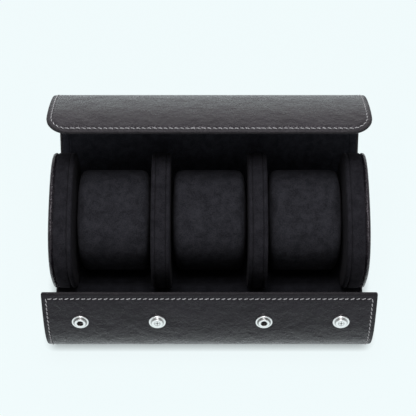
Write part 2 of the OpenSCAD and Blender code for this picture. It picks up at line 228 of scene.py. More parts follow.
@dataclass(frozen=True)
class PanelPlan:
    """A panel in its flat: x across and s along, cut straight at s = 0 and with two round corners at s = length."""

    half_width: float
    length: float
    corner: float
    side_cells: int = 170
    corner_cells: int = 12
    front_cells: int = 64
    least_corner: float = 0.3

    def left_half(self, inset: float) -> np.ndarray:
        """The left side and corner of the outline drawn in by inset: a straight run, then a quarter circle."""
        radius = max(self.corner - inset, self.least_corner)
        centre = np.array([-(self.half_width - inset - radius), self.length - inset - radius])
        side = np.stack(
            [
                np.full(self.side_cells + 1, -(self.half_width - inset)),
                np.linspace(0, centre[1], self.side_cells + 1),
            ],
            axis=-1,
        )
        angle = np.linspace(math.pi, math.pi / 2, self.corner_cells + 1)[1:]
        return np.concatenate([side, centre + radius * np.stack([np.cos(angle), np.sin(angle)], axis=-1)])

    def grid(self, inset: float) -> np.ndarray:
        """(rows + 1, front_cells + 1, 2) points that fill the outline drawn in by inset."""
        left = self.left_half(inset)
        across = np.linspace(1, -1, self.front_cells + 1)
        x = left[:, :1] * across
        return np.stack([x, np.broadcast_to(left[:, 1:], x.shape)], axis=-1)

    @staticmethod
    def border(grid: np.ndarray) -> np.ndarray:
        """The grid's values along its left side, front and right side, in that order."""
        return np.concatenate([grid[:, 0], grid[-1, 1:], grid[-2::-1, -1]])

    def outline(self, inset: float) -> np.ndarray:
        """(x, s) points of the outline drawn in by inset, from one end of the seam round to the other."""
        return self.border(self.grid(inset))

    def depth(self, flat: np.ndarray) -> np.ndarray:
        """Distance of points from the free edges, with the corners taken as square."""
        return np.minimum(self.half_width - np.abs(flat[:, 0]), self.length - flat[:, 1])


@dataclass(frozen=True)
class MeshParts:
    """Points, faces and point attributes that make up one mesh, in millimetres.

    flat is the place that a pattern follows. inset is the distance in from a
    free edge, or, on the metal, the weight of its painted shade in crevices, up to 1.
    """

    points: np.ndarray
    faces: list[list[int]]
    flat: np.ndarray
    inset: np.ndarray


def quads(rows: np.ndarray, columns: np.ndarray) -> list[list[int]]:
    """Quads between two matched lines of vertex numbers."""
    return np.stack([rows[:-1], rows[1:], columns[1:], columns[:-1]], axis=-1).reshape(-1, 4).tolist()


def grid_quads(numbers: np.ndarray) -> list[list[int]]:
    """Quads of a grid of vertex numbers."""
    return (
        np.stack([numbers[:-1, :-1], numbers[:-1, 1:], numbers[1:, 1:], numbers[1:, :-1]], axis=-1)
        .reshape(-1, 4)
        .tolist()
    )


def shell(plan: PanelPlan, rim: Sequence[tuple[float, float]]) -> tuple[np.ndarray, list[list[int]], np.ndarray]:
    """A closed panel: a face on each side, joined round the free edges by a rim.

    Args:
        plan: The panel's flat shape.
        rim: (inset, height) of each line of the rim. The first is the border of
            the outer face and the last is the border of the inner face.

    Returns:
        Flat points (x, s, t), faces, and each point's distance from the edge.
    """
    first, last = rim[0], rim[-1]
    top, bottom = plan.grid(first[0]), plan.grid(last[0])
    loops = [plan.outline(inset) for inset, _ in rim[1:-1]]
    flats = [top.reshape(-1, 2), *loops, bottom.reshape(-1, 2)]
    heights = [first[1], *[height for _, height in rim[1:-1]], last[1]]
    flat = np.concatenate([np.column_stack([f, np.full(len(f), h)]) for f, h in zip(flats, heights)])
    insets = np.concatenate(
        [
            np.maximum(plan.depth(flats[0]), first[0]),
            *[np.full(len(loop), inset) for loop, (inset, _) in zip(loops, rim[1:-1])],
            np.maximum(plan.depth(flats[-1]), last[0]),
        ]
    )
    starts = np.concatenate([[0], np.cumsum([len(f) for f in flats])])
    top_numbers = np.arange(starts[1]).reshape(top.shape[:2])
    bottom_numbers = starts[-2] + np.arange(len(flats[-1])).reshape(bottom.shape[:2])
    lines = [plan.border(top_numbers)]
    lines += [np.arange(starts[i], starts[i + 1]) for i in range(1, len(flats) - 1)]
    lines += [plan.border(bottom_numbers)]
    faces = grid_quads(top_numbers) + grid_quads(bottom_numbers[:, ::-1])
    for near, far in zip(lines[:-1], lines[1:]):
        faces += quads(near, far)
    inner = lines[1:-1]
    seam = [*top_numbers[0], *[line[-1] for line in inner], *bottom_numbers[0, ::-1], *[line[0] for line in inner[::-1]]]
    return flat, [*faces, [int(n) for n in seam]], insets


def pierced(
    flat: np.ndarray, faces: list[list[int]], centres: Sequence[tuple[float, float]], radius: float
) -> tuple[np.ndarray, list[list[int]]]:
    """Opens round holes through both faces of a shell whose two grids match.

    Every face that touches a point within the radius goes. The points round the
    opening move onto the circle, and a wall of quads joins the two faces there.

    Args:
        flat: Flat points (x, s, t).
        faces: The shell's faces.
        centres: (x, s) of each hole.
        radius: The holes' radius.

    Returns:
        The flat points and faces of the pierced shell.
    """
    flat = flat.copy()
    middle_height = (flat[:, 2].min() + flat[:, 2].max()) / 2
    for centre in centres:
        arm = flat[:, :2] - np.array(centre)
        distance = np.linalg.norm(arm, axis=1)
        within = set(np.flatnonzero(distance < radius).tolist())
        cut = [face for face in faces if not within.isdisjoint(face)]
        faces = [face for face in faces if within.isdisjoint(face)]
        rim = np.array(sorted({n for face in cut for n in face} - within))
        flat[rim, :2] = np.array(centre) + arm[rim] * (radius / distance[rim])[:, None]
        rim = rim[np.argsort(np.arctan2(arm[rim, 1], arm[rim, 0]), kind="stable")]
        upper, lower = (rim[side] for side in (flat[rim, 2] > middle_height, flat[rim, 2] <= middle_height))
        faces += quads(np.append(upper, upper[0]), np.append(lower, lower[0]))
    return flat, faces


class Slot(Enum):
    """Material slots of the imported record."""

    LEATHER = "leather"
    SUEDE = "suede"
    BOARD = "board"
    FOAM = "foam"
    CHROME = "chrome"


class Coordinates(Enum):
    """What a finish's pattern follows."""

    FLAT = "flat"
    OBJECT = "object"


class NodeSheet:
    """Short calls that lay out the nodes of one material."""

    def __init__(self, name: str) -> None:
        """Starts a material with its one shader."""
        self.material = bpy.data.materials.new(name)
        self.material.use_nodes = True
        self.tree = self.material.node_tree
        self.shader = self.tree.nodes["Principled BSDF"]
        self.surface = self.tree.nodes["Material Output"]

    def add(self, kind: str, sockets: dict[str | int, object] | None = None, **settings: object) -> bpy.types.Node:
        """Adds a node.

        Args:
            kind: The node's type, without its ShaderNode prefix.
            sockets: Values, or outputs of other nodes, for its inputs.
            **settings: Values of the node's own properties.

        Returns:
            The new node.
        """
        node = self.tree.nodes.new("ShaderNode" + kind)
        for name, value in settings.items():
            setattr(node, name, value)
        for name, value in (sockets or {}).items():
            self.feed(node.inputs[name], value)
        return node

    def feed(self, socket: bpy.types.NodeSocket, value: object) -> None:
        """Links an output to a socket, or sets the socket's own value."""
        if isinstance(value, bpy.types.NodeSocket):
            self.tree.links.new(value, socket)
        else:
            socket.default_value = value

    def shade(self, **values: object) -> None:
        """Feeds the shader's sockets, named with _ for each space."""
        for name, value in values.items():
            self.feed(self.shader.inputs[name.replace("_", " ")], value)

    def coordinates(self, kind: Coordinates) -> bpy.types.NodeSocket:
        """The vector that the finish's pattern follows, in metres."""
        if kind is Coordinates.FLAT:
            return self.add("Attribute", attribute_name="flat").outputs["Vector"]
        return self.add("TexCoord").outputs["Object"]

    def ramp(self, factor: bpy.types.NodeSocket, stops: Sequence[tuple[float, Sequence[float]]]) -> bpy.types.NodeSocket:
        """A colour ramp through (place, colour) stops."""
        node = self.add("ValToRGB", {"Fac": factor})
        elements = node.color_ramp.elements
        while len(elements) < len(stops):
            elements.new(0.5)
        for element, (place, color) in zip(elements, stops):
            element.position = place
            element.color = (*color, 1.0)
        return node.outputs["Color"]

    def math(self, operation: str, a: object, b: object) -> bpy.types.NodeSocket:
        """One step of arithmetic."""
        return self.add("Math", {0: a, 1: b}, operation=operation).outputs[0]

    def remap(
        self, value: bpy.types.NodeSocket, given: tuple[float, float], wanted: tuple[float, float]
    ) -> bpy.types.NodeSocket:
        """A value carried from one range to another, held at its ends."""
        sockets = {"Value": value, "From Min": given[0], "From Max": given[1], "To Min": wanted[0], "To Max": wanted[1]}
        return self.add("MapRange", sockets).outputs["Result"]


@dataclass(frozen=True)
class LeatherFinish:
    """Soft grained leather: dark and mottled, with pebbled grain and shallow wrinkles."""

    name: str = "grained_leather"
    coordinates: Coordinates = Coordinates.FLAT
    dark: tuple[float, float, float] = (0.0085, 0.0075, 0.0102)
    light: tuple[float, float, float] = (0.0215, 0.0190, 0.0250)
    edge_paint: tuple[float, float, float] = (0.007, 0.007, 0.008)
    edge_share: float = 0.75
    roughness: tuple[float, float] = (0.20, 0.33)
    specular: float = 0.42
    sheen: float = 0.45
    edge_roughness: float = 0.65
    pebble: float = 600.0
    blotch: float = 70.0
    wrinkle: float = 150.0
    grain_height: float = 0.00011
    wrinkle_height: float = 0.0015

    def build(self) -> bpy.types.Material:
        """Lays out the material: blotched colour and roughness over a wrinkled, pebbled surface."""
        sheet = NodeSheet(self.name)
        place = sheet.coordinates(self.coordinates)
        blotches = sheet.add("TexNoise", {"Vector": place, "Scale": self.blotch, "Detail": 6.0, "Roughness": 0.68})
        grain = self.grain(sheet, place)
        mottled = sheet.ramp(blotches.outputs["Fac"], [(0.32, self.dark), (0.68, self.light)])
        worn = sheet.add("MixRGB", {"Fac": 0.35, "Color1": mottled, "Color2": grain}, blend_type="MULTIPLY")
        inset = sheet.add("Attribute", attribute_name="inset").outputs["Fac"]
        painted = sheet.remap(inset, (0.0009, 0.0026), (self.edge_share, 0.0))
        color = sheet.add("MixRGB", {"Fac": painted, "Color1": worn.outputs["Color"], "Color2": (*self.edge_paint, 1.0)})
        polish = sheet.remap(blotches.outputs["Fac"], (0.3, 0.7), self.roughness)
        rough = sheet.add("Mix", {"Factor": painted, "A": polish, "B": self.edge_roughness})
        sheet.shade(
            Base_Color=color.outputs["Color"],
            Roughness=rough.outputs["Result"],
            Normal=self.relief(sheet, place, grain),
            Specular_IOR_Level=self.specular,
            Sheen_Weight=self.sheen,
            Specular_Tint=(1.0, 0.93, 1.0, 1.0),
            Sheen_Roughness=0.2,
            Sheen_Tint=(0.97, 0.90, 1.0, 1.0),
        )
        return sheet.material

    def grain(self, sheet: NodeSheet, place: bpy.types.NodeSocket) -> bpy.types.NodeSocket:
        """Pebbles: 0 in the creases between them and 1 on their tops."""
        warp = sheet.add("TexNoise", {"Vector": place, "Scale": self.pebble * 0.5, "Detail": 2.0})
        bent = sheet.add("MixRGB", {"Fac": 0.0012, "Color1": place, "Color2": warp.outputs["Color"]}, blend_type="ADD")
        pebbles = sheet.add(
            "TexVoronoi", {"Vector": bent.outputs["Color"], "Scale": self.pebble}, feature="DISTANCE_TO_EDGE"
        )
        return sheet.ramp(pebbles.outputs["Distance"], [(0.0, (0, 0, 0)), (0.3, (1, 1, 1))])

    def relief(
        self, sheet: NodeSheet, place: bpy.types.NodeSocket, grain: bpy.types.NodeSocket
    ) -> bpy.types.NodeSocket:
        """The surface's normal: wrinkles first, then grain and fine pores on them."""
        broad = sheet.add("TexNoise", {"Vector": place, "Scale": self.wrinkle * 0.6, "Detail": 2.0})
        close = sheet.add("TexNoise", {"Vector": place, "Scale": self.wrinkle * 1.8, "Detail": 3.0, "Distortion": 0.6})
        height = sheet.math("ADD", broad.outputs["Fac"], sheet.math("MULTIPLY", close.outputs["Fac"], 0.45))
        wrinkles = sheet.add("Bump", {"Height": height, "Strength": 1.0, "Distance": self.wrinkle_height})
        fine = sheet.add("TexNoise", {"Vector": place, "Scale": self.pebble * 2.2, "Detail": 4.0})
        height = sheet.math("ADD", grain, sheet.math("MULTIPLY", fine.outputs["Fac"], 0.8))
        bump = sheet.add(
            "Bump",
            {"Height": height, "Strength": 1.0, "Distance": self.grain_height, "Normal": wrinkles.outputs["Normal"]},
        )
        return bump.outputs["Normal"]


@dataclass(frozen=True)
class SuedeFinish:
    """Brushed suede: very rough, with a soft sheen, blotches of laid nap and fine fibres."""

    name: str = "brushed_suede"
    coordinates: Coordinates = Coordinates.OBJECT
    dark: tuple[float, float, float] = (0.0160, 0.0156, 0.0195)
    light: tuple[float, float, float] = (0.0350, 0.0343, 0.0415)
    sheen: float = 0.02
    fibre: float = 1500.0
    nap: float = 170.0

    def build(self) -> bpy.types.Material:
        """Lays out the material: napped colour from noise, a sheen, and fibre bump."""
        sheet = NodeSheet(self.name)
        place = sheet.coordinates(self.coordinates)
        nap = sheet.add("TexNoise", {"Vector": place, "Scale": self.nap, "Detail": 5.0, "Roughness": 0.6, "Distortion": 0.4})
        fibres = sheet.add("TexNoise", {"Vector": place, "Scale": self.fibre, "Detail": 3.0, "Roughness": 0.7})
        laid = sheet.math("MULTIPLY", nap.outputs["Fac"], 0.42)
        speckle = sheet.math("ADD", laid, sheet.math("MULTIPLY", fibres.outputs["Fac"], 0.58))
        color = sheet.ramp(speckle, [(0.42, self.dark), (0.60, self.light)])
        height = sheet.math("ADD", fibres.outputs["Fac"], sheet.math("MULTIPLY", nap.outputs["Fac"], 1.2))
        bump = sheet.add("Bump", {"Height": height, "Strength": 0.45, "Distance": 0.00025})
        sheet.shade(Base_Color=color, Roughness=0.95, Normal=bump.outputs["Normal"], Specular_IOR_Level=0.04)
        sheet.shade(Sheen_Weight=self.sheen, Sheen_Roughness=0.5, Sheen_Tint=(0.75, 0.74, 0.8, 1.0))
        return sheet.material


@dataclass(frozen=True)
class ThreadFinish:
    """Twisted polyester thread."""

    name: str = "pale_thread"
    dark: tuple[float, float, float] = (0.34, 0.34, 0.36)
    light: tuple[float, float, float] = (0.66, 0.66, 0.68)
    twist: float = 420.0

    def build(self) -> bpy.types.Material:
        """Lays out the material: slanted waves along each stitch for the twist."""
        sheet = NodeSheet(self.name)
        place = sheet.coordinates(Coordinates.FLAT)
        slanted = sheet.add("Mapping", {"Vector": place, "Rotation": (0.0, 0.0, math.radians(38))})
        waves = sheet.add("TexWave", {"Vector": slanted.outputs["Vector"], "Scale": self.twist, "Distortion": 1.0})
        color = sheet.ramp(waves.outputs["Fac"], [(0.1, self.dark), (0.9, self.light)])
        bump = sheet.add("Bump", {"Height": waves.outputs["Fac"], "Strength": 0.4, "Distance": 0.0001})
        sheet.shade(Base_Color=color, Roughness=0.6, Normal=bump.outputs["Normal"], Sheen_Weight=0.2)
        return sheet.material


@dataclass(frozen=True)
class ChromeFinish:
    """Polished chrome with smudges, darkened by painted shade down in its crevices."""

    name: str = "polished_chrome"
    crevice_shade: tuple[float, float, float] = (0.030, 0.022, 0.016)

    def build(self) -> bpy.types.Material:
        """Lays out the material: a bright metal whose roughness varies, darker where the inset attribute grows, which
        paints shade in its crevices.
        """
        sheet = NodeSheet(self.name)
        place = sheet.coordinates(Coordinates.OBJECT)
        smudge = sheet.add("TexNoise", {"Vector": place, "Scale": 400.0, "Detail": 4.0})
        bright = sheet.ramp(smudge.outputs["Fac"], [(0.3, (0.90, 0.91, 0.91)), (0.7, (0.97, 0.97, 0.97))])
        # Painted shade: the inset attribute mixes the metal towards crevice_shade in the studs' dish, hole and crimp
        # creases.
        inset = sheet.add("Attribute", attribute_name="inset").outputs["Fac"]
        depth = sheet.remap(inset, (0.0, MM), (0.0, 1.0))
        color = sheet.add("MixRGB", {"Fac": depth, "Color1": bright, "Color2": (*self.crevice_shade, 1.0)})
        rough = sheet.remap(smudge.outputs["Fac"], (0.0, 1.0), (0.26, 0.4))
        sheet.shade(Base_Color=color.outputs["Color"], Metallic=1.0, Roughness=rough)
        return sheet.material


@dataclass(frozen=True)
class PlainFinish:
    """Board or foam inside the case: a matte colour with a fine speckle."""

    name: str
    dark: tuple[float, float, float]
    light: tuple[float, float, float]
    grain: float = 900.0

    def build(self) -> bpy.types.Material:
        """Lays out the material: speckled colour and a fine bump."""
        sheet = NodeSheet(self.name)
        place = sheet.coordinates(Coordinates.OBJECT)
        grain = sheet.add("TexNoise", {"Vector": place, "Scale": self.grain, "Detail": 5.0})
        color = sheet.ramp(grain.outputs["Fac"], [(0.35, self.dark), (0.65, self.light)])
        bump = sheet.add("Bump", {"Height": grain.outputs["Fac"], "Strength": 0.3, "Distance": 0.0002})
        sheet.shade(Base_Color=color, Roughness=0.9, Normal=bump.outputs["Normal"])
        return sheet.material


@dataclass
class Finishes:
    """Every material of the case, built once."""

    leather: bpy.types.Material = field(default_factory=lambda: LeatherFinish().build())
    # Painted shade: a darker copy of the leather, with weaker specular, for the lower flap.
    shaded_leather: bpy.types.Material = field(
        default_factory=lambda: LeatherFinish(
            name="lower_leather_painted_shade", dark=(0.0078, 0.0069, 0.0096), light=(0.0195, 0.0172, 0.0230), specular=0.27
        ).build()
    )
    cap_leather: bpy.types.Material = field(
        default_factory=lambda: LeatherFinish(name="cap_leather", coordinates=Coordinates.OBJECT, edge_share=0.0).build()
    )
    suede: bpy.types.Material = field(default_factory=lambda: SuedeFinish().build())
    cushion_suede: bpy.types.Material = field(
        default_factory=lambda: SuedeFinish(
            name="cushion_suede", dark=(0.0215, 0.0217, 0.0265), light=(0.0470, 0.0472, 0.0570)
        ).build()
    )
    lining: bpy.types.Material = field(
        default_factory=lambda: SuedeFinish(
            name="lining_suede",
            coordinates=Coordinates.FLAT,
            dark=(0.0260, 0.0275, 0.0350),
            light=(0.0570, 0.0600, 0.0750),
        ).build()
    )
    # Painted shade: a darker copy of the lining suede for the lower flap.
    shaded_lining: bpy.types.Material = field(
        default_factory=lambda: SuedeFinish(
            name="lower_lining_painted_shade",
            coordinates=Coordinates.FLAT,
            dark=(0.0090, 0.0092, 0.0115),
            light=(0.0195, 0.0195, 0.0245),
        ).build()
    )
    thread: bpy.types.Material = field(default_factory=lambda: ThreadFinish().build())
    chrome: bpy.types.Material = field(default_factory=lambda: ChromeFinish().build())
    board: bpy.types.Material = field(
        default_factory=lambda: PlainFinish("black_board", (0.009, 0.009, 0.010), (0.018, 0.018, 0.020)).build()
    )
    foam: bpy.types.Material = field(
        default_factory=lambda: PlainFinish("pale_foam", (0.5, 0.5, 0.46), (0.7, 0.7, 0.64)).build()
    )


def make_piece(name: str, parts: MeshParts, material: bpy.types.Material) -> bpy.types.Object:
    """Makes a smooth-shaded object from points in millimetres.

    Args:
        name: The piece's name.
        parts: Its points, faces and attributes.
        material: Its finish.

    Returns:
        The object, at the origin.
    """
    mesh = bpy.data.meshes.new(name)
    mesh.from_pydata((parts.points * MM).tolist(), [], parts.faces)
    flat = mesh.attributes.new("flat", "FLOAT_VECTOR", "POINT")
    flat.data.foreach_set("vector", (parts.flat * MM).astype(np.float32).ravel())
    inset = mesh.attributes.new("inset", "FLOAT", "POINT")
    inset.data.foreach_set("value", (parts.inset * MM).astype(np.float32))
    made = bmesh.new()
    made.from_mesh(mesh)
    bmesh.ops.recalc_face_normals(made, faces=made.faces)
    made.to_mesh(mesh)
    made.free()
    mesh.shade_smooth()
    mesh.materials.append(material)
    piece = bpy.data.objects.new(name, mesh)
    bpy.context.scene.collection.objects.link(piece)
    return piece


@dataclass
class WrapHalf:
    """One flap with its half of the base: an outer leather, an inner lining and the stitching between."""

    name: str
    section: Section
    fold: Fold
    fold_place: float
    edge_place: float
    base_places: tuple[float, float]
    lift_end_place: float
    edge_lift: float
    corner: float
    side_stitch_inset: float
    front_stitch_inset: float
    place_step: float = 0.75
    gap_band: float = 8.0
    snap_hole_r: float = 4.8

    LEATHER_RIM = (
        (9.0, 2.8), (7.0, 2.84), (5.6, 2.88), (4.7, 2.82), (4.1, 2.64), (3.6, 2.48), (3.2, 2.44), (2.8, 2.52),
        (2.2, 2.64), (1.5, 2.66), (0.9, 2.58), (0.45, 2.4), (0.14, 2.14), (0.02, 1.9), (0.1, 1.68), (0.4, 1.53),
        (0.8, 1.46), (1.15, 1.42), (1.15, 1.36), (0.75, 1.28), (0.36, 1.12), (0.14, 0.88), (0.1, 0.58), (0.24, 0.28),
        (0.62, 0.06), (1.1, 0.0), (1.8, 0.0), (1.97, 0.1), (1.98, 0.78), (1.98, 1.6), (6.0, 1.6),
    )
    LINING_RIM = (
        (9.0, 0.78), (2.04, 0.78), (2.03, 0.42), (2.1, 0.18), (2.4, 0.05), (2.9, 0.0), (9.0, 0.0),
    )

    def lift(self, places: np.ndarray) -> np.ndarray:
        """Distance of the closed flap's inner face outside the section: the gap at the fold, then the flap's rise."""
        ahead = np.abs(places - self.fold_place) * np.sign((places - self.fold_place) * self.direction)
        gap = FLAP_GAP * ease(ahead / self.gap_band + 0.5)
        if self.edge_lift == 0:
            return gap
        return gap + self.edge_lift * ease(ahead / abs(self.lift_end_place - self.fold_place))

    @property
    def direction(self) -> float:
        """1 where places grow from the fold to the free edge, and -1 where they fall."""
        return math.copysign(1.0, self.edge_place - self.fold_place)

    def sole_line(self) -> np.ndarray:
        """Outer points under the base, from its middle seam to where the wrap takes over."""
        raise NotImplementedError

    def curve(self) -> WallCurve:
        """The wall of this half: the sole, the wrap behind the base and the flap, closed."""
        start = self.base_places[1]
        count = int(abs(self.edge_place - start) / self.place_step)
        places = np.linspace(start, self.edge_place, count + 1)
        lift = self.lift(places)
        sole = self.sole_line()
        dense = np.linspace(*self.base_places, 400)
        ring = self.section.points(dense)
        nearest = np.argmin(np.linalg.norm(sole[:, None] - ring[None], axis=-1), axis=1)
        inner = np.concatenate([ring[nearest], self.section.points(places, lift)])
        outer = np.concatenate([sole, self.section.points(places, lift + WRAP_T)])
        return WallCurve(inner, outer)

    def plan(self, curve: WallCurve) -> PanelPlan:
        """The flat shape of this half."""
        return PanelPlan(HALF_W, curve.length, self.corner)

    def place(self, curve: WallCurve, flat: np.ndarray) -> np.ndarray:
        """Flat points (x, s, t) on the open case."""
        closed = self.section.row(flat[:, 0], curve.at(flat[:, 1], flat[:, 2]))
        fold_point = self.section.points(np.array([self.fold_place]), np.array([WRAP_T]))
        fold_arc = curve.arc[np.argmin(np.linalg.norm(curve.outer - fold_point, axis=1))]
        return self.fold.opened(closed, flat[:, 1] > fold_arc)

    def bend(self, piece: bpy.types.Object) -> None:
        """Bakes a piece's placement into its mesh. The fold band's ends are read, but nothing uses them."""
        start, end = self.fold.ends()
        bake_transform(piece)

    def skin(self, name: str, rim: Sequence[tuple[float, float]], material: bpy.types.Material, slot: Slot) -> bpy.types.Object:
        """A leather or lining that covers this half."""
        curve = self.curve()
        flat, faces, inset = shell(self.plan(curve), rim)
        if slot is Slot.SUEDE:
            flat, faces = pierced(flat, faces, self.snap_holes(curve), self.snap_hole_r)
        piece = make_piece(name, MeshParts(self.place(curve, flat), faces, flat, inset), material)
        self.bend(piece)
        return piece

    def snap_holes(self, curve: WallCurve) -> list[tuple[float, float]]:
        """Flat middles of the holes that the lining leaves for snaps."""
        return []

    def build(self, finishes: Finishes) -> list[bpy.types.Object]:
        """Builds the leather, the lining and the stitching."""
        leather = self.skin(self.name + "_leather_skin", self.LEATHER_RIM, self.hide(finishes), Slot.LEATHER)
        lining = self.skin(self.name + "_suede_lining", self.LINING_RIM, self.suede(finishes), Slot.SUEDE)
        stitching = self.stitching(finishes.thread)
        return [leather, lining, stitching]

    def hide(self, finishes: Finishes) -> bpy.types.Material:
        """The outer leather's finish."""
        return finishes.leather

    def suede(self, finishes: Finishes) -> bpy.types.Material:
        """The lining's finish."""
        return finishes.lining

    def stitching(self, material: bpy.types.Material) -> bpy.types.Object:
        """The stitches round this half's free edges."""
        curve = self.curve()
        inset_plan = PanelPlan(
            HALF_W - self.side_stitch_inset,
            curve.length - self.front_stitch_inset,
            max(self.corner - self.side_stitch_inset, 0.5),
        )
        seam = Stitches(self.sole_end_arc(curve) + 4.0)
        flat, faces = seam.lay(inset_plan.outline(0.0))
        points = self.place(curve, flat)
        points[:, 2] = np.maximum(points[:, 2], 0.0)
        parts = MeshParts(points, faces, flat, np.zeros(len(flat)))
        piece = make_piece(self.name + "_stitching", parts, material)
        self.bend(piece)
        return piece

    def sole_end_arc(self, curve: WallCurve) -> float:
        """Distance along the wall where the sole ends."""
        return float(curve.arc[len(self.sole_line())])


@dataclass
class UpperHalf(WrapHalf):
    """The upper flap with the back half of the base."""

    sole_middle: float = 1.0
    sole_back: float = 13.0
    flat_steps: int = 14
    curve_steps: int = 28

    LINING_RIM = (
        (9.0, 0.78), (2.04, 0.78), (2.03, 0.42), (2.1, 0.18), (2.4, 0.05), (2.9, 0.0), (6.3, 0.0), (6.75, 0.06),
        (7.0, 0.3), (7.3, 0.12), (7.8, 0.06), (9.0, 0.04),
    )

    def snap_holes(self, curve: WallCurve) -> list[tuple[float, float]]:
        """Flat middles of the holes under the flanges of the snaps' sockets."""
        here = np.array([SNAP_PLACE])
        foot = self.section.points(here, self.lift(here) + WRAP_T)
        arc = float(curve.arc[np.argmin(np.linalg.norm(curve.outer - foot, axis=1))])
        return [(SNAP_SHIFT_X + x, arc) for x in (-SNAP_OUTER_X, -SNAP_INNER_X, SNAP_INNER_X, SNAP_OUTER_X)]

    def sole_line(self) -> np.ndarray:
        """A flat run, then a quadratic curve whose middle point is where the floor meets the wrap's tangent."""
        floor = -self.section.z
        end_place = np.array([self.base_places[1]])
        end = turned(self.section.points(end_place, np.array([WRAP_T])), self.section.tilt)[0]
        ahead = turned(self.section.points(end_place + 0.01, np.array([WRAP_T])), self.section.tilt)[0]
        along = (ahead - end) / np.linalg.norm(ahead - end)
        middle = end + along * (floor - end[1]) / along[1]
        start = np.array([self.sole_back, floor])
        flat = np.stack([np.linspace(self.sole_middle, self.sole_back, self.flat_steps + 1)[:-1], np.full(self.flat_steps, floor)], axis=-1)
        t = np.linspace(0, 1, self.curve_steps + 1)[:-1, None]
        curve = (1 - t) ** 2 * start + 2 * t * (1 - t) * middle + t**2 * end
        return turned(np.concatenate([flat, curve]), -self.section.tilt)


@dataclass
class LowerHalf(WrapHalf):
    """The lower flap with the front half of the base."""

    sole_middle: float = 1.0
    flat_steps: int = 14

    def hide(self, finishes: Finishes) -> bpy.types.Material:
        """The outer leather's finish: a darker copy of the leather, with weaker specular, that paints shade on the
        lower flap.
        """
        return finishes.shaded_leather

    def suede(self, finishes: Finishes) -> bpy.types.Material:
        """The lining's finish: a darker copy of the lining suede, which paints shade on the lower flap's lining."""
        return finishes.shaded_lining

    def sole_line(self) -> np.ndarray:
        """A flat run from the middle seam to the lowest point of the wrap."""
        start = turned(self.section.points(np.array([self.base_places[1]]), np.array([WRAP_T])), self.section.tilt)[0]
        y = np.linspace(self.sole_middle, start[0], self.flat_steps + 1)[:-1]
        return turned(np.stack([y, np.full(len(y), start[1])], axis=-1), -self.section.tilt)


@dataclass(frozen=True)
class Stitches:
    """A line of slanted stitches, each a thread that rises from the seam's groove and dips back into it."""

    least_s: float
    pitch: float = 3.65
    length: float = 3.55
    thread_d: float = 0.7
    slant: float = 13.0
    crest: float = -0.04
    dip: float = 0.6
    stations: int = 9
    round_faces: int = 8

    def lay(self, line: np.ndarray) -> tuple[np.ndarray, list[list[int]]]:
        """Lays stitches along a line in the flat.

        A stitch's thread has the radius r (1 - |a|^4)^(1/2) along a from -1 to 1.
        Its middle line stands at the crest over the leather's face and dips as a^2.

        Args:
            line: (x, s) points of the seam.

        Returns:
            Flat points (x, s, t) and faces of all the stitches.
        """
        rng = np.random.default_rng(SEED)
        arc = np.concatenate([[0.0], np.cumsum(np.linalg.norm(np.diff(line, axis=0), axis=1))])
        count = int(arc[-1] / self.pitch)
        centres = (np.arange(count) + 0.5) * arc[-1] / count
        middle = np.stack([np.interp(centres, arc, line[:, i]) for i in (0, 1)], axis=-1)
        ahead = np.stack([np.interp(centres + 0.4, arc, line[:, i]) for i in (0, 1)], axis=-1)
        behind = np.stack([np.interp(centres - 0.4, arc, line[:, i]) for i in (0, 1)], axis=-1)
        along = (ahead - behind) / np.linalg.norm(ahead - behind, axis=1, keepdims=True)
        keep = middle[:, 1] > self.least_s
        middle, along = middle[keep], along[keep]
        count = len(middle)
        slants = self.slant + rng.normal(0, 1.5, count)
        along = turned(along, slants)
        across = np.stack([-along[:, 1], along[:, 0]], axis=-1)
        a = np.linspace(-0.97, 0.97, self.stations)
        b = np.linspace(0, 2 * math.pi, self.round_faces, endpoint=False)
        radius = self.thread_d / 2 * np.sqrt(1 - np.abs(a) ** 4)
        half = self.length / 2 * rng.normal(1, 0.03, count)
        run = half[:, None, None] * a[None, :, None]
        side = radius[None, :, None] * np.cos(b)[None, None, :]
        height = WRAP_T + self.crest - self.dip * a[None, :, None] ** 2 + radius[None, :, None] * np.sin(b)
        shape = (count, self.stations, self.round_faces)
        run, side, height = (np.broadcast_to(v, shape) for v in (run, side, height))
        flat = middle[:, None, None] + run[..., None] * along[:, None, None] + side[..., None] * across[:, None, None]
        points = np.concatenate([flat, height[..., None]], axis=-1).reshape(-1, 3)
        numbers = np.arange(len(points)).reshape(shape)
        wrapped = np.concatenate([numbers, numbers[:, :, :1]], axis=2)
        ring = np.stack([wrapped[:, :-1, :-1], wrapped[:, 1:, :-1], wrapped[:, 1:, 1:], wrapped[:, :-1, 1:]], axis=-1)
        faces = ring.reshape(-1, 4).tolist() + numbers[:, 0, ::-1].tolist() + numbers[:, -1].tolist()
        return points, faces


